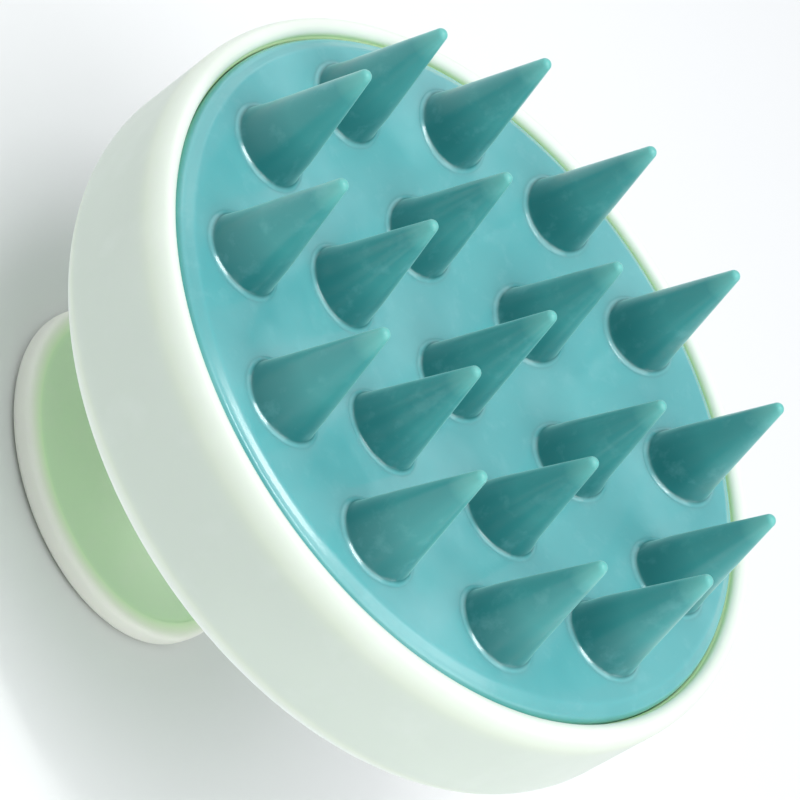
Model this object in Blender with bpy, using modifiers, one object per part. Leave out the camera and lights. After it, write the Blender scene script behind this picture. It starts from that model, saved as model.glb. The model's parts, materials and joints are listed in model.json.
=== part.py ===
"""Scalp massager brush: a round head of soft bristles leaning on a flared grip.

Two frames are used. The grip frame is the world: +Z runs up the grip and the flat
end of the grip stands on z = 0. The head frame is the grip frame turned about X at
the point where the two axes cross, so its +Z points out along the bristles.
Lengths are written in millimetres and scaled once, where meshes are made.
"""
import math

import bmesh
import bpy
from mathutils import Matrix, Vector

MM = 0.001
GAP = 0.3                     # clearance between touching pieces

# How the head sits on the grip.
HEAD_LEAN = math.radians(14)  # head axis against grip axis, towards -Y
CROSSING_Z = 51.2             # height where the two axes cross
DATUM_DEPTH = 8.8             # from the crossing down to the head's zero plane

# Head shell: a shallow bowl with a rounded lip.
SHELL_R = 40.55
LIP_R = 39.45
LIP_Z = -0.35
LIP_TUBE = 1.1
BACK_Z = -17.2
BACK_FILLET = 6.0
FLOOR_Z = -14.9
LEDGE_R = 33.0
LEDGE_Z = -12.0

# Silicone pad: dished on top, hooked under the plate at its skirt.
PAD_R = 38.0
PAD_BEAD = 1.1
DISH_CENTRE_Z = -3.0
DISH_CROWN_Z = 0.6
DISH_CROWN_R = 36.7
DISH_POWER = 1.3
PAD_BOTTOM_Z = -7.2

# Bristles: cones that rock on a ball-shaped root.
BRISTLE_BASE_R = 4.2
BRISTLE_TIP_R = 0.7
PIVOT_HEIGHT = 2.5
ROOT_R = math.hypot(BRISTLE_BASE_R, PIVOT_HEIGHT)
CENTRE_LENGTH = 14.7
INNER_RING = {"count": 6, "radius": 15.85, "first": 30, "length": 13.5}
OUTER_RING = {"count": 12, "radius": 30.1, "first": 15, "length": 14.45}

# Plate that carries the pad, and its screws.
PLATE_R = 36.4
PLATE_TOP_Z = -7.5
PLATE_BOTTOM_Z = -10.3
FLANGE_BOTTOM_Z = -9.5
PLATE_FOOT_R = 34.9
PLATE_FOOT_INNER_R = 31.0
PLATE_SCREWS = 3
PLATE_SCREW_RING = 23.0
FIRST_SCREW_TURN = 100        # degrees
PLATE_SCREW = {"shank_r": 1.3, "head_r": 2.6, "head_height": 1.4, "length": 5.2}
PLATE_HOLE_R = 1.6
PLATE_SINK_R = 3.0
PLATE_SEAT_Z = -9.5           # where the plate's screw heads sit
POST_R = 3.4
POST_PILOT_FLOOR_Z = -14.7

# Grip: neck with a flared disc at its foot.
RIM_R = 17.2                  # where the round of the disc's edge is centred
RIM_Z = 1.5
RIM_TUBE = 1.2
FLARE_Z = 2.75                # the flare runs from here up to the waist
FLARE_POWER = 1.15
WAIST_Z = 13.0
NECK_R = 7.0
NECK_FILLET = 5.0
NECK_BORE_R = 5.2
NECK_ROOF_Z = 20.0
CAVITY = ((NECK_BORE_R, 12.5), (5.6, 9.5), (6.6, 6.6), (8.3, 4.3), (10.4, 2.7), (13.0, 1.7))

# Screw that holds the grip to a boss under the head.
BOSS_R = 4.0
BOSS_TOP_Z = 29.8
GRIP_SCREW = {"shank_r": 1.5, "head_r": 2.9, "head_height": 1.7, "length": 8.6}
GRIP_HOLE_R = 1.8
GRIP_HOLE_FOOT_Z = 15.0
BOSS_PILOT_TOP_Z = 28.8

# End cap: a disc with a tube that presses into the neck's bore.
CAP_R = 15.5
CAP_THICKNESS = 1.4
CAP_CHAMFER = 0.4
SPIGOT_TOP_Z = 9.0
SPIGOT_INNER_R = 3.4
SPIGOT_CHAMFER = (0.5, 0.6)

# Sides of the round pieces.
ROUND = 40
CAP_ROUND = 24
SMALL_ROUND = 16
BRISTLE_ROUND = 12
SOCKET_SIDES = 6

SHELL_PLASTIC = ((0.62, 0.80, 0.62), 0.42, 0.0)
INNER_PLASTIC = ((0.75, 0.78, 0.76), 0.55, 0.0)
PAD_SILICONE = ((0.07, 0.36, 0.37), 0.45, 0.0)
BRISTLE_SILICONE = ((0.05, 0.30, 0.30), 0.48, 0.0)
STEEL = ((0.58, 0.58, 0.60), 0.35, 1.0)


def clear_scene():
    """Remove whatever the file holds."""
    for obj in list(bpy.data.objects):
        bpy.data.objects.remove(obj, do_unlink=True)


def new_collection(name):
    """Return a new collection linked to the scene."""
    collection = bpy.data.collections.new(name)
    bpy.context.scene.collection.children.link(collection)
    return collection


def new_material(name, look):
    """Return a Principled material from a (colour, roughness, metallic) look."""
    colour, roughness, metallic = look
    material = bpy.data.materials.new(name)
    material.use_nodes = True
    shader = material.node_tree.nodes["Principled BSDF"]
    shader.inputs["Base Color"].default_value = (*colour, 1.0)
    shader.inputs["Roughness"].default_value = roughness
    shader.inputs["Metallic"].default_value = metallic
    return material


def place(obj, parent, location=(0, 0, 0), turn=0.0):
    """Put an object in a frame: location in millimetres, turn about Z in radians."""
    obj.parent = parent
    obj.location = Vector(location) * MM
    obj.rotation_euler = (0, 0, turn)


def finish_mesh(name, mesh, collection, material):
    """Wrap a mesh in a linked, smooth-shaded object."""
    mesh.shade_smooth()
    obj = bpy.data.objects.new(name, mesh)
    collection.objects.link(obj)
    if material:
        mesh.materials.append(material)
    return obj


def profile_mesh(name, profile):
    """Return a mesh of the open polyline (radius, height), in metres."""
    mesh = bpy.data.meshes.new(name)
    points = [(radius * MM, 0, height * MM) for radius, height in profile]
    edges = [(i, i + 1) for i in range(len(points) - 1)]
    mesh.from_pydata(points, edges, [])
    return mesh


def add_screw(obj, segments):
    """Turn the object's profile a full circle about Z."""
    screw = obj.modifiers.new("turn", "SCREW")
    screw.axis = "Z"
    screw.steps = segments
    screw.render_steps = segments
    screw.use_merge_vertices = True
    screw.merge_threshold = 0.00001


def turned(name, profile, collection, material, segments=ROUND):
    """Turn a profile that starts on the axis at its top and ends on it at its foot."""
    obj = finish_mesh(name, profile_mesh(name, profile), collection, material)
    add_screw(obj, segments)
    return obj


def boolean(target, tool, operation):
    """Cut or join the target with the tool."""
    modifier = target.modifiers.new(tool.name, "BOOLEAN")
    modifier.operation = operation
    modifier.solver = "EXACT"
    modifier.object = tool


def hide_tool(obj):
    """Mark an object as a tool that isn't part of the model."""
    obj.hide_render = True
    obj.display_type = "WIRE"


def arc(centre, radius, start, end, steps):
    """Points of an arc of (radius, height), angles in degrees from +radius."""
    angles = [math.radians(start + (end - start) * i / steps) for i in range(steps + 1)]
    return [(centre[0] + radius * math.cos(a), centre[1] + radius * math.sin(a)) for a in angles]


def pad_height(radius):
    """Height of the dished pad top at a radius."""
    reach = min(radius / DISH_CROWN_R, 1.0) ** DISH_POWER
    rise = DISH_CROWN_Z - DISH_CENTRE_Z
    return DISH_CENTRE_Z + rise * math.sin(math.pi / 2 * reach) ** 2


def bristle_sites():
    """List (name, x, y, turn, length) of every bristle in the head frame."""
    sites = [("bristle_01", 0.0, 0.0, 0.0, CENTRE_LENGTH)]
    for ring in (INNER_RING, OUTER_RING):
        for i in range(ring["count"]):
            turn = math.radians(ring["first"] + 360 / ring["count"] * i)
            x = ring["radius"] * math.cos(turn)
            y = ring["radius"] * math.sin(turn)
            sites.append((f"bristle_{len(sites) + 1:02d}", x, y, turn, ring["length"]))
    return sites


def pivot_of(x, y):
    """Point in the head frame about which the bristle at (x, y) rocks."""
    return Vector((x, y, pad_height(math.hypot(x, y)) + PIVOT_HEIGHT))


def back_plane(y):
    """Height in the grip frame of the head's flat back at a given y."""
    depth = (DATUM_DEPTH - BACK_Z) / math.cos(HEAD_LEAN)
    return CROSSING_Z - depth + y * math.tan(HEAD_LEAN)


def rods(name, collection, frame, spans):
    """One tool of separate upright rods: spans lists (x, y, radius, low, high)."""
    build = bmesh.new()
    for x, y, radius, low, high in spans:
        spot = Matrix.Translation(Vector((x, y, (low + high) / 2)) * MM)
        bmesh.ops.create_cone(build, cap_ends=True, segments=SMALL_ROUND, radius1=radius * MM,
                              radius2=radius * MM, depth=(high - low) * MM, matrix=spot)
    mesh = bpy.data.meshes.new(name)
    build.to_mesh(mesh)
    build.free()
    tool = finish_mesh(name, mesh, collection, None)
    place(tool, frame)
    hide_tool(tool)
    return tool


def plate_screw_spots():
    """Points in the head frame where the plate's screws go."""
    turns = [math.radians(FIRST_SCREW_TURN + 360 * i / PLATE_SCREWS) for i in range(PLATE_SCREWS)]
    return [(PLATE_SCREW_RING * math.cos(a), PLATE_SCREW_RING * math.sin(a)) for a in turns]


def make_shell(collection, tools, head, material):
    """Bowl, with three screw posts inside and a boss for the grip's screw."""
    inner_r = LIP_R - LIP_TUBE
    fillet = (SHELL_R - BACK_FILLET, BACK_Z + BACK_FILLET)
    profile = [(0, FLOOR_Z), (LEDGE_R, FLOOR_Z), (LEDGE_R, LEDGE_Z), (inner_r, LEDGE_Z)]
    profile += arc((LIP_R, LIP_Z), LIP_TUBE, 180, 0, 6)
    profile += arc(fillet, BACK_FILLET, 0, -90, 5)
    profile += [(0, BACK_Z)]
    shell = turned("body_shell", profile, collection, material)
    place(shell, head)
    post_top = PLATE_BOTTOM_Z - GAP
    posts = [(x, y, POST_R, FLOOR_Z - 1, post_top) for x, y in plate_screw_spots()]
    pilots = [(x, y, PLATE_HOLE_R, POST_PILOT_FLOOR_Z, 0) for x, y in plate_screw_spots()]
    boss = [(0, 0, BOSS_R, back_plane(BOSS_R) + 0.2, BOSS_TOP_Z)]
    boss_pilot = [(0, 0, GRIP_HOLE_R, GRIP_HOLE_FOOT_Z, BOSS_PILOT_TOP_Z)]
    boolean(shell, rods("posts", tools, head, posts), "UNION")
    boolean(shell, rods("boss", tools, None, boss), "UNION")
    boolean(shell, rods("post_pilots", tools, head, pilots), "DIFFERENCE")
    boolean(shell, rods("boss_pilot", tools, None, boss_pilot), "DIFFERENCE")


def make_plate(collection, tools, head, plastic, steel):
    """Disc that carries the pad, with a flange, a foot ring and three sunk screws."""
    foot_z = LEDGE_Z + GAP
    profile = [(0, PLATE_TOP_Z), (PLATE_R, PLATE_TOP_Z), (PLATE_R, FLANGE_BOTTOM_Z),
               (PLATE_FOOT_R, FLANGE_BOTTOM_Z), (PLATE_FOOT_R, foot_z), (PLATE_FOOT_INNER_R, foot_z),
               (PLATE_FOOT_INNER_R, PLATE_BOTTOM_Z), (0, PLATE_BOTTOM_Z)]
    plate = turned("backing_plate", profile, collection, plastic)
    place(plate, head)
    above = PLATE_TOP_Z + 2
    below = PLATE_BOTTOM_Z - 2
    holes = [(x, y, PLATE_HOLE_R, below, above) for x, y in plate_screw_spots()]
    sinks = [(x, y, PLATE_SINK_R, PLATE_SEAT_Z, above) for x, y in plate_screw_spots()]
    boolean(plate, rods("plate_holes", tools, head, holes), "DIFFERENCE")
    boolean(plate, rods("plate_sinks", tools, head, sinks), "DIFFERENCE")
    for i, (x, y) in enumerate(plate_screw_spots()):
        screw = make_screw(f"plate_screw_{i + 1}", PLATE_SCREW, collection, tools, steel)
        place(screw, head, (x, y, PLATE_SEAT_Z + GAP))


def make_screw(name, size, collection, tools, steel):
    """Pan-head screw pointing down, seated at its own zero, with a hex socket."""
    head_r = size["head_r"]
    head_top = size["head_height"]
    shank_r = size["shank_r"]
    point_z = -size["length"]
    profile = [(0, head_top), (head_r * 0.75, head_top), (head_r, head_top * 0.75), (head_r, 0),
               (shank_r, 0), (shank_r, point_z + shank_r), (0, point_z)]
    screw = turned(name, profile, collection, steel, SMALL_ROUND)
    socket_r = head_r * 0.5
    socket_top = head_top + 1
    socket_floor = head_top * 0.4
    socket_profile = [(0, socket_top), (socket_r, socket_top), (socket_r, socket_floor), (0, socket_floor)]
    socket = turned(name + "_socket", socket_profile, tools, None, SOCKET_SIDES)
    socket.parent = screw
    hide_tool(socket)
    boolean(screw, socket, "DIFFERENCE")
    return screw


def make_pad(collection, tools, head, material):
    """Dished silicone disc whose skirt hooks under the plate, with a seat for each bristle."""
    steps = 7
    crown_r = PAD_R - PAD_BEAD
    profile = [(crown_r * i / steps, pad_height(crown_r * i / steps)) for i in range(steps)]
    profile += arc((crown_r, DISH_CROWN_Z - PAD_BEAD), PAD_BEAD, 90, 0, 3)
    skirt_foot = LEDGE_Z + GAP
    hook_r = PLATE_FOOT_R + GAP
    hook_top = FLANGE_BOTTOM_Z - GAP
    skirt_r = PLATE_R + GAP
    profile += [(PAD_R, skirt_foot), (hook_r, skirt_foot), (hook_r, hook_top), (skirt_r, hook_top),
                (skirt_r, PAD_BOTTOM_Z), (0, PAD_BOTTOM_Z)]
    pad = turned("silicone_pad", profile, collection, material)
    place(pad, head)
    seats = bpy.data.meshes.new("bristle_seats")
    balls = bmesh.new()
    for _, x, y, turn, _ in bristle_sites():
        spot = Matrix.Translation(pivot_of(x, y) * MM) @ Matrix.Rotation(turn, 4, "Z")
        radius = (ROOT_R + GAP) * MM
        bmesh.ops.create_uvsphere(balls, u_segments=12, v_segments=8, radius=radius, matrix=spot)
    balls.to_mesh(seats)
    balls.free()
    cutter = finish_mesh("bristle_seats", seats, tools, None)
    place(cutter, head)
    hide_tool(cutter)
    boolean(pad, cutter, "DIFFERENCE")


def bristle_profile(length):
    """Cone above its pivot with a rounded tip, closed below by the ball-shaped root."""
    tip_z = length - PIVOT_HEIGHT - BRISTLE_TIP_R
    side = math.degrees(math.atan2(BRISTLE_BASE_R - BRISTLE_TIP_R, length))
    edge = math.degrees(math.atan2(-PIVOT_HEIGHT, BRISTLE_BASE_R))
    profile = arc((0, tip_z), BRISTLE_TIP_R, 90, side, 2)
    profile += arc((0, 0), ROOT_R, edge, -90, 3)
    profile[0] = (0, profile[0][1])
    profile[-1] = (0, -ROOT_R)
    return profile


def make_bristles(collection, head, material):
    """One bristle object at each site, its origin on the axis it rocks about."""
    meshes = {}
    for name, x, y, turn, length in bristle_sites():
        if length not in meshes:
            meshes[length] = profile_mesh(f"bristle_{length:.1f}_mm", bristle_profile(length))
            meshes[length].materials.append(material)
            meshes[length].shade_smooth()
        bristle = bpy.data.objects.new(name, meshes[length])
        collection.objects.link(bristle)
        add_screw(bristle, BRISTLE_ROUND)
        place(bristle, head, pivot_of(x, y), turn)


def grip_rings():
    """Rings (radius, height, follow) up the grip; follow 1 keeps to the leaning back."""
    rim = arc((RIM_R, RIM_Z), RIM_TUBE, -90, 90, 5)
    rings = [(radius, height, 0) for radius, height in rim]
    steps = 6
    for i in range(1, steps + 1):
        sweep = math.pi / 2 * i / steps
        radius = NECK_R + (RIM_R - NECK_R) * (1 - math.sin(sweep)) ** FLARE_POWER
        height = FLARE_Z + (WAIST_Z - FLARE_Z) * (1 - math.cos(sweep)) ** FLARE_POWER
        rings.append((radius, height, 0))
    steps = 4
    for i in range(steps + 1):
        t = i / steps
        rings.append((NECK_R + NECK_FILLET * t * t, -GAP - NECK_FILLET * (1 - t) ** 2, 1))
    return rings


def make_grip(collection, tools, material):
    """Neck with a flared foot; its top is cut to the leaning back of the head."""
    build = bmesh.new()
    previous = None
    loops = []
    for radius, height, follow in grip_rings():
        loop = []
        for i in range(ROUND):
            angle = 2 * math.pi * i / ROUND
            x = radius * math.cos(angle)
            y = radius * math.sin(angle)
            z = height + (back_plane(y) if follow else 0)
            loop.append(build.verts.new(Vector((x, y, z)) * MM))
        if previous:
            for i in range(ROUND):
                j = (i + 1) % ROUND
                build.faces.new((previous[i], previous[j], loop[j], loop[i]))
        loops.append(loop)
        previous = loop
    build.faces.new(list(reversed(loops[0])))
    build.faces.new(loops[-1])
    mesh = bpy.data.meshes.new("handle_grip")
    build.to_mesh(mesh)
    build.free()
    grip = finish_mesh("handle_grip", mesh, collection, material)
    recess_r = CAP_R + GAP
    recess_top = CAVITY[-1][1]
    bore = [(0, NECK_ROOF_Z), (NECK_BORE_R, NECK_ROOF_Z), *CAVITY, (recess_r, recess_top),
            (recess_r, -2), (0, -2)]
    cavity = turned("grip_cavity", bore, tools, None)
    hide_tool(cavity)
    hole = [(0, 0, GRIP_HOLE_R, GRIP_HOLE_FOOT_Z, BOSS_TOP_Z + GAP)]
    boolean(grip, cavity, "DIFFERENCE")
    boolean(grip, rods("grip_screw_hole", tools, None, hole), "DIFFERENCE")


def make_cap(collection, material):
    """Flat end cap with a spigot that presses into the neck's bore."""
    spigot_r = NECK_BORE_R - GAP
    narrowing, drop = SPIGOT_CHAMFER
    profile = [(0, CAP_THICKNESS), (SPIGOT_INNER_R, CAP_THICKNESS), (SPIGOT_INNER_R, SPIGOT_TOP_Z),
               (spigot_r - narrowing, SPIGOT_TOP_Z), (spigot_r, SPIGOT_TOP_Z - drop),
               (spigot_r, CAP_THICKNESS), (CAP_R, CAP_THICKNESS), (CAP_R, CAP_CHAMFER),
               (CAP_R - CAP_CHAMFER, 0), (0, 0)]
    turned("grip_cap", profile, collection, material, CAP_ROUND)


def main():
    clear_scene()
    brush = new_collection("scalp_massager_brush")
    tools = new_collection("cutters")
    shell_plastic = new_material("shell_plastic", SHELL_PLASTIC)
    inner_plastic = new_material("inner_plastic", INNER_PLASTIC)
    pad_silicone = new_material("pad_silicone", PAD_SILICONE)
    bristle_silicone = new_material("bristle_silicone", BRISTLE_SILICONE)
    steel = new_material("steel", STEEL)

    head = bpy.data.objects.new("head_frame", None)
    brush.objects.link(head)
    head.rotation_euler = (HEAD_LEAN, 0, 0)
    drop = Matrix.Rotation(HEAD_LEAN, 3, "X") @ Vector((0, 0, -DATUM_DEPTH))
    head.location = (Vector((0, 0, CROSSING_Z)) + drop) * MM

    make_shell(brush, tools, head, shell_plastic)
    make_plate(brush, tools, head, inner_plastic, steel)
    make_pad(brush, tools, head, pad_silicone)
    make_bristles(brush, head, bristle_silicone)
    make_grip(brush, tools, shell_plastic)
    make_cap(brush, shell_plastic)
    grip_screw = make_screw("grip_screw", GRIP_SCREW, brush, tools, steel)
    grip_screw.rotation_euler = (math.pi, 0, 0)
    grip_screw.location = (0, 0, (NECK_ROOF_Z - GAP) * MM)


main()
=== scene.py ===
# Scalp massager brush: the finished look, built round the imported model.
# A pale plastic shell holds a dished silicone pad with nineteen cone-shaped bristles, and
# leans on a flared grip. Lengths are in millimetres, and MM turns them into metres where
# meshes are made. The head frame has its +Z along the bristles; the grip stands on z = 0.
import json
import math

import bmesh
import bpy
from mathutils import Matrix, Vector

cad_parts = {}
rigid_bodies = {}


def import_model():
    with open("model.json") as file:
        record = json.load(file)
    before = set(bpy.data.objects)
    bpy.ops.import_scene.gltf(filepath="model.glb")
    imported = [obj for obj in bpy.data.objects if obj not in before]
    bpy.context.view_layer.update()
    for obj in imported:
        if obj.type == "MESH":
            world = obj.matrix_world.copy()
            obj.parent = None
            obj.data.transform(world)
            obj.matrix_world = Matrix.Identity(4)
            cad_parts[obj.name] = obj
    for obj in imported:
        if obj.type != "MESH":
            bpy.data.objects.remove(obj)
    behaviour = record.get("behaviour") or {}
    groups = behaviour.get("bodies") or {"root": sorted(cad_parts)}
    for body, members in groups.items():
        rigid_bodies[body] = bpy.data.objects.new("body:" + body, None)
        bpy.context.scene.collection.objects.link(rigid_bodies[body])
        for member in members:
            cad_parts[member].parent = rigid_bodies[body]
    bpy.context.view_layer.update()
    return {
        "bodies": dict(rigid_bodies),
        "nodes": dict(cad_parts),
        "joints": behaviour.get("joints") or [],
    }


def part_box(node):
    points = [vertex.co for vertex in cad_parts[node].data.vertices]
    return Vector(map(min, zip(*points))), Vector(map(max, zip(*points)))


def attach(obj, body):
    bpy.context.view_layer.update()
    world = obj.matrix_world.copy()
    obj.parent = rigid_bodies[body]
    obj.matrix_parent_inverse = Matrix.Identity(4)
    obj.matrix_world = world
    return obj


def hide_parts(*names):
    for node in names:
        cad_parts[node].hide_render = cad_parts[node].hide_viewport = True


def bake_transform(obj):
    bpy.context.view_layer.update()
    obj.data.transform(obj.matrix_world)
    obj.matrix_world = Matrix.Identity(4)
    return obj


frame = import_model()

MM = 0.001
BRUSH = "brush"
BRISTLES = sorted(name for name in frame["bodies"] if name.startswith("bristle_"))
PIVOTS = {joint["child"]: Vector(joint["pos_m"]) / MM for joint in frame["joints"]}


def reach_x(node):
    """Radius in millimetres of a round CAD node, read along X."""
    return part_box(node)[1].x / MM


# Head shell.
SHELL_R = reach_x("body_shell")
LIP_TUBE = 1.1                # radius of the rounded lip
LIP_R = SHELL_R - LIP_TUBE    # where the lip's round is centred
LIP_Z = -0.35
LIP_BEAD = 0.2                # a low bead inside the lip all but closes on the pad
LIP_BEAD_Z = (-2.5, -2.0, -0.3, -0.1)    # its foot, inner face and top, from LIP_Z
LIP_SWEEP = 2.7               # height over which the lip runs out into the side wall
BACK_Z = -17.2
BACK_FILLET = 6.0
SHELL_ROUND = 0.3             # on the inner corners
FLOOR_Z = -14.9
LEDGE_R = 33.0
LEDGE_Z = -12.0

# Silicone pad, dished on top.
PAD_R = reach_x("silicone_pad") + 0.12    # the soft edge all but touches the shell
PAD_BAND_R = 36.5             # a narrow sloping band runs round the pad's crown
PAD_BAND_WIDTH = 0.8
PAD_BAND_SLOPE = math.radians(27)
PAD_CROWN = ((-0.2, 0.0), (0.1, -0.06))    # from the band's start, from the crown's height
PAD_BORDER = ((0.42, 0.08), (0.06, -0.45))   # in from the edge, height
PAD_CROWN_FLAT = 0.6          # width of the crown inside the band
PAD_ROUND = 0.22
PAD_GRIP_Z = (-3.0, -3.4)     # between these the pad's edge steps in by PAD_STEP
PAD_STEP = 0.12
DISH_CENTRE_Z = -3.0
DISH_CROWN_Z = 0.6
DISH_CROWN_R = 36.7
DISH_POWER = 1.3
PAD_BOTTOM_Z = -7.2
HOOK_Z = -9.8                 # top of the lip that hooks under the plate
HOOK_R = 35.2
SKIRT_R = 36.7
SKIRT_FOOT_Z = -11.7

# Bristles.
PIVOT_HEIGHT = 2.5            # the joint's height above the pad
TIP_R = 0.7
CONE_FOOT_R = 4.2
LENGTHS = {1: 14.7, 7: 13.5, 19: 14.45}   # up to that bristle number
FOOT_FLARE = ((0.0, 0.42), (0.08, 0.26), (0.48, 0.035), (0.65, 0.0))    # out, height
FLARE_ROUND = 0.2
FOOT_SLOPE_Z = 3.0            # below this a bristle's rings turn to follow the pad's slope
ROOT_DEPTH = 0.8              # the hidden root below the pad's surface
ROOT_LIP = (0.2, -0.03)       # how far the root starts outside the flare, and its height

# Grip.
GRIP_R = reach_x("handle_grip")
RIM_TUBE = 1.2                # half the thickness of the rim
RIM_R = GRIP_R - RIM_TUBE
RIM_Z = 1.5
RIM_INSET = 0.6
RIM_ROUND = 0.75
RIM_RISE = 0.15               # the rim's top rises by this towards the neck
FLARE_Z = 2.75
FLARE_POWER = 1.15
WAIST_Z = 13.0
WAIST_R = 7.0
NECK_FILLET = 5.0
BORE_R = 5.2
BORE_FLARE = ((BORE_R, 12.5), (5.6, 9.5), (6.6, 6.6), (8.3, 4.3), (10.4, 2.7))
BORE_FLOOR_R = 13.0
BORE_ROUND = 0.5
ROOF_Z = 20.0
SCREW_HOLE_R = 1.8
CAP_RECESS_R = 15.8
CAP_RECESS_Z = 1.7
CAP_R = reach_x("grip_cap")
CAP_THICKNESS = 1.4
CAP_ROUND = 0.4
SPIGOT_HOLE_R = 3.4
SPIGOT_TOP_Z = 9
GAP = 0.3

# Mesh steps: how many round a piece, and the longest along an outline.
AROUND = 224
AROUND_GRIP = 160
AROUND_BRISTLE = 64
SHELL_STEP = 1.0
PAD_MESH_STEP = 1.6
CAP_STEP = 1.5
FLARE_STEP = 0.12


def head_frame():
    """Matrix from the head frame to the world, read from three pivots of the outer ring."""
    first, second, third = (PIVOTS[name] for name in ("bristle_08", "bristle_12", "bristle_16"))
    normal = (second - first).cross(third - first).normalized()
    across = Vector((1, 0, 0))
    origin = PIVOTS["bristle_01"] - normal * (DISH_CENTRE_Z + PIVOT_HEIGHT)
    axes = Matrix((across, normal.cross(across), normal)).transposed().to_4x4()
    return Matrix.Translation(origin) @ axes


HEAD = head_frame()
HEAD_BACK = HEAD.inverted()
LEAN = math.acos(HEAD.col[2].z)


def back_plane(y):
    """World height of the shell's flat back at a given y."""
    on_back = HEAD @ Vector((0, 0, BACK_Z))
    return on_back.z + (y - on_back.y) * math.tan(LEAN)


def pad_height(radius):
    """Height of the pad's dished top in the head frame."""
    share = min(radius / DISH_CROWN_R, 1.0) ** DISH_POWER
    return DISH_CENTRE_Z + (DISH_CROWN_Z - DISH_CENTRE_Z) * math.sin(math.pi / 2 * share) ** 2


# ---------------------------------------------------------------- shapes

def arc(centre, radius, start, end, steps):
    """Points of an arc of (radius, height), angles in degrees from +radius."""
    angles = [math.radians(start + (end - start) * i / steps) for i in range(steps + 1)]
    return [(centre[0] + radius * math.cos(a), centre[1] + radius * math.sin(a)) for a in angles]


def refined(profile, step):
    """The same outline with no stretch longer than step."""
    points = [profile[0]]
    for (r0, z0), (r1, z1) in zip(profile, profile[1:]):
        parts = max(1, math.ceil(math.hypot(r1 - r0, z1 - z0) / step))
        for i in range(1, parts + 1):
            points.append((r0 + (r1 - r0) * i / parts, z0 + (z1 - z0) * i / parts))
    return points


def softened(profile, radius, steps=3):
    """The outline with each inner corner turned into a small round."""
    points = [profile[0]]
    for before, corner, after in zip(profile, profile[1:], profile[2:]):
        corner, before, after = Vector(corner), Vector(before), Vector(after)
        room = min(radius, (before - corner).length / 2.1, (after - corner).length / 2.1)
        start = corner + (before - corner).normalized() * room
        end = corner + (after - corner).normalized() * room
        for i in range(steps + 1):
            t = i / steps
            points.append(tuple(start * (1 - t) ** 2 + corner * 2 * t * (1 - t) + end * t * t))
    return points + [profile[-1]]


def finished(name, build, material, sharp_angle=50):
    """Turn a bmesh into a linked, smooth-shaded object with one material."""
    bmesh.ops.recalc_face_normals(build, faces=build.faces)
    mesh = bpy.data.meshes.new(name)
    build.to_mesh(mesh)
    build.free()
    mesh.shade_smooth()
    mesh.set_sharp_from_angle(angle=math.radians(sharp_angle))
    mesh.materials.append(material)
    piece = bpy.data.objects.new(name, mesh)
    bpy.context.scene.collection.objects.link(piece)
    return piece


def skin(build, rings, closed=False):
    """Join neighbouring rings of vertices with faces; a ring of one vertex is a pole."""
    pairs = list(zip(rings, rings[1:]))
    if closed:
        pairs.append((rings[-1], rings[0]))
    for low, high in pairs:
        count = max(len(low), len(high))
        for i in range(count):
            j = (i + 1) % count
            corners = [low[i % len(low)], low[j % len(low)],
                       high[j % len(high)], high[i % len(high)]]
            build.faces.new(list(dict.fromkeys(corners)))


def turned(name, profile, segments, place, material):
    """Turn an outline that starts and ends on the axis; place maps millimetres to the world."""
    build = bmesh.new()
    rings = []
    for radius, height in profile:
        if radius < 1e-6:
            spots = [Vector((0, 0, height))]
        else:
            turns = [math.tau * i / segments for i in range(segments)]
            spots = [Vector((radius * math.cos(a), radius * math.sin(a), height)) for a in turns]
        rings.append([build.verts.new((place @ spot) * MM) for spot in spots])
    skin(build, rings)
    return finished(name, build, material)


def smooth(value, start, end):
    """0 before start, 1 after end, with a smooth change between them."""
    share = min(max((value - start) / (end - start), 0.0), 1.0)
    return share * share * (3 - 2 * share)


def store(piece, name, values):
    """Keep one value for each vertex of a piece."""
    piece.data.attributes.new(name, "FLOAT", "POINT").data.foreach_set("value", values)


def paint(piece, name, rule):
    """Keep a value for each vertex, worked out from its place in millimetres."""
    store(piece, name, [rule(vertex.co / MM) for vertex in piece.data.vertices])


def rides(piece, slot, *nodes):
    """A rigid piece on the brush that stands for CAD nodes; its finish slot is not used."""
    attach(piece, BRUSH)
    if nodes:
        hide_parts(*nodes)
    return piece


# ---------------------------------------------------------------- materials

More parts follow.
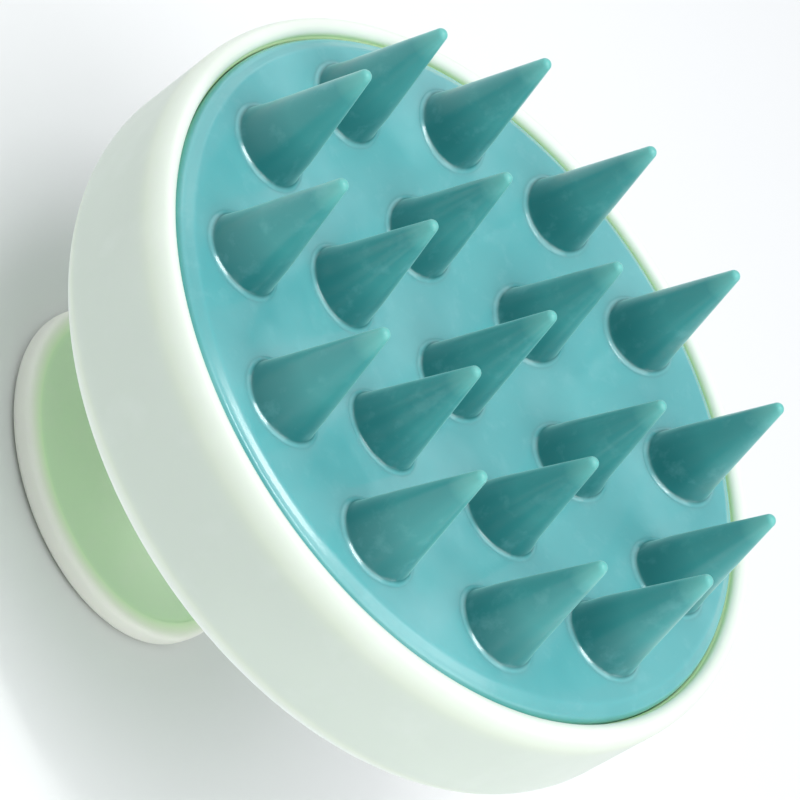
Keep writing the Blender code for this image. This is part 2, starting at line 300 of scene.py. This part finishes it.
class Look:
    """Short way to wire a Principled material."""

    def __init__(self, name):
        self.material = bpy.data.materials.new(name)
        self.material.use_nodes = True
        self.tree = self.material.node_tree
        self.shader = self.tree.nodes["Principled BSDF"]

    def node(self, kind, **values):
        """Add a node; values set its properties, or its inputs by name."""
        node = self.tree.nodes.new(kind)
        for key, value in values.items():
            if hasattr(node, key):
                setattr(node, key, value)
            else:
                node.inputs[key.replace("_", " ")].default_value = value
        return node

    def link(self, output, target):
        """Join an output to an input socket, or to the shader's socket of that name."""
        if isinstance(target, str):
            target = self.shader.inputs[target]
        self.tree.links.new(output, target)

    def value(self, attribute):
        """A number kept for each vertex, 0 where a piece has none."""
        return self.node("ShaderNodeAttribute", attribute_name=attribute).outputs["Fac"]

    def set(self, **values):
        """Set plain values on the shader's own sockets."""
        for key, value in values.items():
            self.shader.inputs[key.replace("_", " ")].default_value = value

    def place(self, attribute=None):
        """Coordinates that stay with the surface."""
        if attribute:
            return self.node("ShaderNodeAttribute", attribute_name=attribute).outputs["Vector"]
        return self.node("ShaderNodeTexCoord").outputs["Object"]

    def noise(self, place, scale, detail=3.0, roughness=0.5):
        """Noise of about the given number of lumps a metre."""
        noise = self.node("ShaderNodeTexNoise", Scale=scale, Detail=detail, Roughness=roughness)
        self.link(place, noise.inputs["Vector"])
        return noise.outputs["Fac"]

    def spread(self, value, low, high, out_low=0.0, out_high=1.0):
        """Map a value from one range to another, held at both ends."""
        spread = self.node("ShaderNodeMapRange", From_Min=low, From_Max=high,
                           To_Min=out_low, To_Max=out_high)
        self.link(value, spread.inputs["Value"])
        return spread.outputs["Result"]

    def mix(self, factor, first, second):
        """Blend two colours, each a tuple or an output."""
        mix = self.node("ShaderNodeMix", data_type="RGBA")
        self.link(factor, mix.inputs["Factor"])
        for socket, colour in zip((mix.inputs[6], mix.inputs[7]), (first, second)):
            if isinstance(colour, tuple):
                socket.default_value = (*colour, 1.0)
            else:
                self.link(colour, socket)
        return mix.outputs[2]

    def add_bumps(self, *layers):
        """Stack bumps of (height output, depth in millimetres)."""
        normal = None
        for height, depth in layers:
            bump = self.node("ShaderNodeBump", Strength=1.0, Distance=depth * MM)
            self.link(height, bump.inputs["Height"])
            if normal:
                self.link(normal, bump.inputs["Normal"])
            normal = bump.outputs["Normal"]
        self.link(normal, "Normal")


# Colours, linear RGB.
# Each plastic's pale tone serves its rubs, and the painted glow and highlight on the edges a piece
# marks pale.
MINT = {"body": (0.63, 0.71, 0.63), "pale": (0.90, 0.96, 0.93)}
# The grip is the shell's plastic painted greener and lighter: painted green bounce light that its
# face gets in the head's shade. Its pale tone is a painted glow on the rim.
BOUNCE_GREEN = {"body": (0.69, 0.95, 0.62), "pale": (0.93, 0.97, 0.83)}
INNER = {"body": (0.70, 0.74, 0.71), "pale": (0.80, 0.82, 0.80)}
# painted shade for the crevice between the shell and the pad
CREVICE_SHADE_GREEN = (0.62, 0.80, 0.47)
PAINTED_GLOW_TINT = (1.06, 1.05, 0.98)    # the body's colour where the painted glow starts
PAD = {"base": (0.120, 0.432, 0.447), "deep": (0.095, 0.385, 0.405), "pale": (0.25, 0.56, 0.58)}
# The cones are the pad's silicone painted darker: painted shade on flanks that face away from the
# top light. Deep is painted shade towards the foot, pale a painted glow at the tip.
CONE = {"base": (0.054, 0.308, 0.305), "deep": (0.023, 0.203, 0.207), "pale": (0.16, 0.50, 0.46)}
CONE_SHEEN = (0.55, 0.95, 0.88, 1.0)
STEEL = {"dull": (0.50, 0.50, 0.52), "bright": (0.64, 0.64, 0.65)}
FLOOR = {"low": (0.76, 0.77, 0.775), "high": (0.80, 0.81, 0.815)}


def moulded_plastic(name, tones, glow, gloss):
    """Satin moulded plastic with faint flow and rubs, a painted glow and highlight where a piece
    marks its edges pale, and painted shade where it marks a crevice.

    Glow is how far light spreads inside it in millimetres, gloss its lowest roughness."""
    body, pale = tones["body"], tones["pale"]
    look = Look(name)
    place = look.place()
    flow = look.noise(place, 45, 2.0)
    grain = look.noise(place, 2600, 2.0)
    rubs = look.noise(place, 180, 3.0, 0.5)
    deep = tuple(c * 0.96 for c in body)
    painted_glow_tone = tuple(c * tint for c, tint in zip(body, PAINTED_GLOW_TINT))
    tone = look.mix(look.spread(flow, 0.35, 0.65), body, deep)
    # Painted glow and highlight where a piece is marked pale; painted crevice shade where it is
    # marked inside.
    edge = look.value("pale")
    inside = look.value("inside")
    tone = look.mix(look.spread(edge, 0.0, 0.2), tone, painted_glow_tone)
    tone = look.mix(look.spread(edge, 0.1, 1.0), tone, pale)
    tone = look.mix(look.spread(rubs, 0.55, 0.85, 0.0, 0.15), tone, pale)
    # Painted crevice shade on the shell's inner wall.
    tone = look.mix(inside, tone, CREVICE_SHADE_GREEN)
    look.link(tone, "Base Color")
    look.link(look.spread(rubs, 0.3, 0.8, gloss, gloss + 0.12), "Roughness")
    look.set(Subsurface_Weight=0.5, Subsurface_Scale=glow * MM, IOR=1.46)
    look.shader.inputs["Subsurface Radius"].default_value = (0.9, 1.0, 0.85)
    look.add_bumps((grain, 0.003), (rubs, 0.004))
    return look.material


def silicone(name, place_name=None, cone=False):
    """Satin silicone: soft glow inside, a fine matt grain and faint cloudy mottling; the cones get
    painted shade at the foot and a painted glow at the tip.
    """
    look = Look(name)
    place = look.place(place_name)
    cloud = look.spread(look.noise(place, 90, 3.0), 0.35, 0.7)
    grain = look.noise(place, 3200, 2.0)
    bloom = look.noise(place, 420, 4.0, 0.6)
    tone = look.mix(cloud, PAD["deep"], PAD["base"])
    if cone:
        along = look.value("reach")
        foot = look.value("foot")
        # Painted shade towards the foot, then a painted glow at the tip.
        body = look.mix(look.spread(along, 0.0, 0.35), CONE["deep"], CONE["base"])
        body = look.mix(look.spread(along, 0.86, 1.0, 0.0, 0.8), body, CONE["pale"])
        tone = look.mix(look.spread(foot, 0.4, 0.85), body, tone)
        look.link(look.spread(foot, 0.0, 0.3, 0.18, 1.0), "Coat Weight")
        look.set(Sheen_Weight=0.6, Sheen_Roughness=0.3, Sheen_Tint=CONE_SHEEN)
    else:
        # Random paler patches on the pad.
        pale_patches = look.spread(look.noise(place, 60, 3.0, 0.45), 0.5, 0.72, 0.0, 0.5)
        tone = look.mix(pale_patches, tone, PAD["pale"])
    tone = look.mix(look.spread(bloom, 0.55, 0.85, 0.0, 0.3), tone, PAD["pale"])
    look.link(tone, "Base Color")
    look.link(look.spread(bloom, 0.3, 0.75, 0.30, 0.42), "Roughness")
    look.set(Subsurface_Weight=0.4, Subsurface_Scale=1.6 * MM, IOR=1.43)
    look.set(Coat_Weight=1.0, Coat_Roughness=0.12, Coat_IOR=1.43)
    look.shader.inputs["Subsurface Radius"].default_value = (0.3, 1.0, 1.0)
    look.add_bumps((grain, 0.003), (bloom, 0.006))
    return look.material


def steel(name):
    """Plain zinc-bright steel with fine scratches."""
    look = Look(name)
    place = look.place()
    scratches = look.noise(place, 1800, 4.0, 0.7)
    stain = look.noise(place, 300, 3.0)
    look.link(look.mix(look.spread(stain, 0.3, 0.7), STEEL["dull"], STEEL["bright"]), "Base Color")
    look.link(look.spread(scratches, 0.3, 0.7, 0.25, 0.45), "Roughness")
    look.set(Metallic=1.0)
    look.add_bumps((scratches, 0.01))
    return look.material


# ---------------------------------------------------------------- pieces

def shell_painted_glow(place):
    """Painted glow and highlight: the shell is painted paler round its lip and along its back
    edge, where light falls on it and gets in.
    """
    spot = HEAD_BACK @ place
    if spot.xy.length < LEDGE_R + 1:
        return 0.0
    lip = smooth(spot.z, LIP_Z - 3.2, LIP_Z + 0.9)
    back = smooth(spot.z, BACK_Z + 5.0, BACK_Z + 1.2)
    return max(0.42 * lip, back)


def shell_crevice_shade(place):
    """Painted shade: the shell's inner wall, from its lip down to its ledge, is painted a deeper
    green for the shaded crevice round the pad.
    """
    spot = HEAD_BACK @ place
    if spot.z < LEDGE_Z - 0.1:
        return 0.0
    return smooth(spot.z, LIP_Z + 0.7, LIP_Z - 0.1) if spot.xy.length < LIP_R - 0.2 else 0.0


def make_shell(material):
    """Bowl with a lip that rounds over into its side wall, and a low bead inside the lip."""
    inner_r = LIP_R - LIP_TUBE
    bead_z = [LIP_Z + height for height in LIP_BEAD_Z]
    bead_r = inner_r - LIP_BEAD
    outline = [(0, FLOOR_Z), (LEDGE_R, FLOOR_Z), (LEDGE_R, LEDGE_Z), (inner_r, LEDGE_Z),
               *zip((inner_r, bead_r, bead_r, inner_r), bead_z), (inner_r, LIP_Z)]
    outline = softened(outline, SHELL_ROUND)
    outline = outline[:-1] + arc((LIP_R, LIP_Z), LIP_TUBE, 180, 90, 12)
    lip_top = LIP_Z + LIP_TUBE
    steps = 16
    for i in range(1, steps + 1):
        t = math.pi / 2 * i / steps
        outline.append((LIP_R + LIP_TUBE * math.sin(t), lip_top - LIP_SWEEP * (1 - math.cos(t))))
    outline += arc((SHELL_R - BACK_FILLET, BACK_Z + BACK_FILLET), BACK_FILLET, 0, -90, 20)
    outline.append((0, BACK_Z))
    shell = turned("head_shell", refined(outline, SHELL_STEP), AROUND, HEAD, material)
    # Painted glow and highlight at the lip and back edge; painted crevice shade on the inner wall.
    paint(shell, "pale", shell_painted_glow)
    paint(shell, "inside", shell_crevice_shade)
    rides(shell, "shell_plastic", "body_shell")


def make_pad(material):
    """Dished pad with a rounded bead, whose skirt hooks under the plate."""
    crown_r = PAD_BAND_R - PAD_CROWN_FLAT
    rings = 60
    outline = [(crown_r * i / rings, pad_height(crown_r * i / rings)) for i in range(rings + 1)]
    edge = [outline[-1]]
    edge += [(PAD_BAND_R + out, DISH_CROWN_Z + rise) for out, rise in PAD_CROWN]
    band_drop = PAD_BAND_WIDTH * math.tan(PAD_BAND_SLOPE)
    edge.append((PAD_BAND_R + PAD_BAND_WIDTH, DISH_CROWN_Z - band_drop))
    edge += [(PAD_R - inset, height) for inset, height in PAD_BORDER]
    wall_r = PAD_R - PAD_STEP
    edge += [(PAD_R, PAD_GRIP_Z[0]), (wall_r, PAD_GRIP_Z[1]), (wall_r, SKIRT_FOOT_Z),
             (HOOK_R, SKIRT_FOOT_Z), (HOOK_R, HOOK_Z), (SKIRT_R, HOOK_Z),
             (SKIRT_R, PAD_BOTTOM_Z), (0, PAD_BOTTOM_Z)]
    outline += refined(softened(edge, PAD_ROUND), PAD_MESH_STEP)[1:]
    pad = turned("dished_pad", outline, AROUND, HEAD, material)
    rides(pad, "pad_silicone", "silicone_pad")


def bristle_rings(length):
    """Rings (radius, height above the pad, follow) from the tip down to the hidden root.

    Follow 1 keeps a ring on the pad's slope, follow 0 keeps it level."""
    side = math.degrees(math.atan2(CONE_FOOT_R - TIP_R, length))
    rings = [(r, h, 0.0) for r, h in arc((0, length - TIP_R), TIP_R, 90, side, 9)]
    rings[0] = (0.0, length, 0.0)
    top_r, top_h = rings[-1][:2]
    flare = [(CONE_FOOT_R + out, high) for out, high in FOOT_FLARE]
    flare = refined(softened(flare, FLARE_ROUND, 5), FLARE_STEP)
    foot_r, foot_h = flare[0]
    steps = 36
    for i in range(1, steps):
        t = i / steps
        height = top_h + (foot_h - top_h) * t
        follow = smooth(height, FOOT_SLOPE_Z, foot_h)
        rings.append((top_r + (foot_r - top_r) * t, height, follow))
    rings += [(radius, height, 1.0) for radius, height in flare]
    edge_r = rings[-1][0]
    out, height = ROOT_LIP
    rings += [(edge_r + out, height, 1.0), (edge_r, -ROOT_DEPTH, 1.0), (0.0, -ROOT_DEPTH, 1.0)]
    return rings


def make_bristle(name, number, material):
    """One cone that grows out of the pad, its foot following the pad's slope."""
    pivot = HEAD_BACK @ PIVOTS[name]
    site_z = pivot.z - PIVOT_HEIGHT
    length = next(LENGTHS[last] for last in sorted(LENGTHS) if number <= last)
    build = bmesh.new()
    heights = []
    rings = []
    for radius, height, follow in bristle_rings(length):
        spots = []
        for i in range(AROUND_BRISTLE if radius > 0 else 1):
            angle = math.tau * i / AROUND_BRISTLE
            spot = Vector((pivot.x + radius * math.cos(angle),
                           pivot.y + radius * math.sin(angle), 0))
            spot.z = site_z + height + follow * (pad_height(spot.xy.length) - site_z)
            spots.append(build.verts.new((HEAD @ spot) * MM))
            heights.append(height)
        rings.append(spots)
    skin(build, rings)
    cone = finished(name.replace("bristle", "cone"), build, material, 70)
    store(cone, "reach", [smooth(height, 0.0, length) for height in heights])
    store(cone, "foot", [smooth(height, FOOT_FLARE[0][1], 0.0) for height in heights])
    rest = [value for vertex in cone.data.vertices for value in vertex.co]
    places = cone.data.attributes.new("rest_place", "FLOAT_VECTOR", "POINT")
    places.data.foreach_set("vector", rest)
    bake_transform(cone)
    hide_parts(name)


def make_grip(material):
    """Waisted neck with a flared, round-edged foot, hollow inside."""
    rim_foot, rim_top = RIM_Z - RIM_TUBE, RIM_Z + RIM_TUBE
    rim = [(RIM_R - RIM_INSET, rim_foot), (GRIP_R, rim_foot), (GRIP_R, rim_top),
           (RIM_R - RIM_INSET, rim_top + RIM_RISE)]
    rings = [(r, z, 0) for r, z in softened(rim, RIM_ROUND, 8)]
    steps = 30
    for i in range(1, steps + 1):
        sweep = math.pi / 2 * i / steps
        radius = WAIST_R + (RIM_R - WAIST_R) * (1 - math.sin(sweep)) ** FLARE_POWER
        height = FLARE_Z + (WAIST_Z - FLARE_Z) * (1 - math.cos(sweep)) ** FLARE_POWER
        rings.append((radius, height, 0))
    steps = 18
    fillet_foot = back_plane(0) - GAP - NECK_FILLET
    for i in range(steps + 1):
        t = i / steps
        radius = WAIST_R + NECK_FILLET * t * t
        rings.append((radius, fillet_foot + NECK_FILLET * (1 - (1 - t) ** 2), min(1, 0.4 + t)))
    rings += [(SCREW_HOLE_R, back_plane(0) - GAP, 1), (SCREW_HOLE_R, ROOF_Z, 0)]
    bore = [(SCREW_HOLE_R, ROOF_Z), (BORE_R, ROOF_Z), *BORE_FLARE, (BORE_FLOOR_R, CAP_RECESS_Z),
            (CAP_RECESS_R, CAP_RECESS_Z), (CAP_RECESS_R, rim_foot)]
    rings += [(r, z, 0) for r, z in softened(bore, BORE_ROUND)[1:]]
    build = bmesh.new()
    loops = []
    for radius, height, follow in rings:
        loop = []
        for i in range(AROUND_GRIP):
            angle = math.tau * i / AROUND_GRIP
            x = radius * math.cos(angle)
            y = radius * math.sin(angle)
            lift = follow * (back_plane(y) - back_plane(0))
            loop.append(build.verts.new(Vector((x, y, height + lift)) * MM))
        loops.append(loop)
    skin(build, loops, closed=True)
    grip = finished("flared_grip", build, material)
    # Painted glow: the grip's rim is painted paler towards its outer edge.
    paint(grip, "pale", lambda place: smooth(place.xy.length, RIM_R - 1.0, GRIP_R))
    rides(grip, "shell_plastic", "handle_grip")


def make_cap(material):
    """Flat end cap with a spigot for the neck's bore."""
    spigot_r = BORE_R - GAP
    outline = [(0, CAP_THICKNESS), (SPIGOT_HOLE_R, CAP_THICKNESS), (SPIGOT_HOLE_R, SPIGOT_TOP_Z),
               (spigot_r, SPIGOT_TOP_Z), (spigot_r, CAP_THICKNESS), (CAP_R, CAP_THICKNESS),
               (CAP_R, 0), (0, 0)]
    outline = refined(softened(outline, CAP_ROUND), CAP_STEP)
    cap = turned("end_cap", outline, AROUND_GRIP, Matrix.Identity(4), material)
    rides(cap, "shell_plastic", "grip_cap")


def finish_hidden(plastic, metal):
    """Give the parts inside the brush their own finish; their CAD shape stays."""
    for name, node in frame["nodes"].items():
        if name == "backing_plate":
            node.material_slots[0].material = plastic
        elif "screw" in name:
            node.material_slots[0].material = metal


# ---------------------------------------------------------------- stage

VIEW_AZIMUTH = math.radians(-38.6)
VIEW_ELEVATION = math.radians(27.7)
VIEW_ROLL = math.radians(70.2)
VIEW_DISTANCE = 334.3
VIEW_SHIFT = (-7.2, -3.2)     # aim, to the right of and above the head's centre
LENS = 150.9
BRUSH_MIDDLE = Vector((0, 0, 0.04))      # metres, as are the panels' places and sizes
ROOM_COLOUR = (0.93, 0.96, 1.0, 1.0)
ROOM_STRENGTH = 0.47
SQUARE = (0.6, 0.6)
LOW = (0.5, 0.2)
PANELS = (    # name, place, watts, size
    ("key_panel", (0.27, -0.05, 1.0), 7.0, (1.1, 1.1)),
    ("strip_panel", (0.02, -0.28, 0.90), 2.0, (0.40, 0.09)),
    ("edge_panel", (0.35, 0.45, 0.75), 1.3, SQUARE),
    ("side_panel", (-0.35, -0.65, 0.5), 0.6, SQUARE),
    ("back_panel", (-0.65, -0.35, 0.45), 0.9, SQUARE),
    ("low_panel", (0.6, 0.1, 0.2), 0.4, LOW),
    ("rim_panel", (0.33, 0.76, 0.28), 1.1, LOW),
)
ALONG = {"strip_panel": (0.31, 0.43, 0.13)}    # the way a panel's length runs, if not along X


def make_camera():
    """Camera held at an angle, looking down on the bristles."""
    away = Vector((math.cos(VIEW_ELEVATION) * math.cos(VIEW_AZIMUTH),
                   math.cos(VIEW_ELEVATION) * math.sin(VIEW_AZIMUTH), math.sin(VIEW_ELEVATION)))
    turn = away.to_track_quat("Z", "Y").to_matrix().to_4x4() @ Matrix.Rotation(VIEW_ROLL, 4, "Z")
    aim = HEAD.translation + turn.to_3x3() @ Vector((*VIEW_SHIFT, 0))
    data = bpy.data.cameras.new("view")
    data.lens = LENS
    camera = bpy.data.objects.new("view", data)
    camera.matrix_world = Matrix.Translation((aim + away * VIEW_DISTANCE) * MM) @ turn
    bpy.context.scene.collection.objects.link(camera)
    bpy.context.scene.camera = camera


def add_panel(name, place, watts, size, along):
    """Soft panel of size (length, width) at place, facing the brush; its length runs along."""
    data = bpy.data.lights.new(name, "AREA")
    data.shape = "RECTANGLE"
    data.size, data.size_y = size
    data.energy = watts
    light = bpy.data.objects.new(name, data)
    away = (Vector(place) - BRUSH_MIDDLE).normalized()
    across = away.cross(Vector(along)).normalized()
    turn = Matrix((across.cross(away), across, away)).transposed().to_4x4()
    light.matrix_world = Matrix.Translation(place) @ turn
    bpy.context.scene.collection.objects.link(light)


def make_floor():
    """Wide pale floor."""
    build = bmesh.new()
    bmesh.ops.create_grid(build, x_segments=40, y_segments=40, size=4.0)
    look = Look("pale_floor")
    cloud = look.noise(look.place(), 3.0, 3.0)
    look.link(look.mix(cloud, FLOOR["low"], FLOOR["high"]), "Base Color")
    look.set(Roughness=0.6)
    floor = finished("floor", build, look.material)


def make_light():
    """Pale surroundings and soft panels above and beside the brush."""
    world = bpy.data.worlds.new("pale_room")
    world.use_nodes = True
    background = world.node_tree.nodes["Background"]
    background.inputs["Color"].default_value = ROOM_COLOUR
    background.inputs["Strength"].default_value = ROOM_STRENGTH
    bpy.context.scene.world = world
    for name, place, watts, size in PANELS:
        add_panel(name, place, watts, size, ALONG.get(name, (1, 0, 0)))


def main():
    make_camera()
    shell_plastic = moulded_plastic("mint_plastic", MINT, glow=3.0, gloss=0.34)
    # The grip's plastic is painted greener for the bounce light in the head's shade.
    grip_bounce_plastic = moulded_plastic("bounce_green_plastic", BOUNCE_GREEN, glow=3.0, gloss=0.36)
    inner_plastic = moulded_plastic("inner_plastic", INNER, glow=1.0, gloss=0.5)
    pad_silicone = silicone("teal_pad")
    cone_silicone = silicone("teal_cone", "rest_place", cone=True)
    metal = steel("bright_steel")
    make_shell(shell_plastic)
    make_pad(pad_silicone)
    for number, name in enumerate(BRISTLES, 1):
        make_bristle(name, number, cone_silicone)
    make_grip(grip_bounce_plastic)
    make_cap(grip_bounce_plastic)
    finish_hidden(inner_plastic, metal)
    make_floor()
    make_light()
    bpy.context.scene.view_settings.view_transform = "Standard"


main()
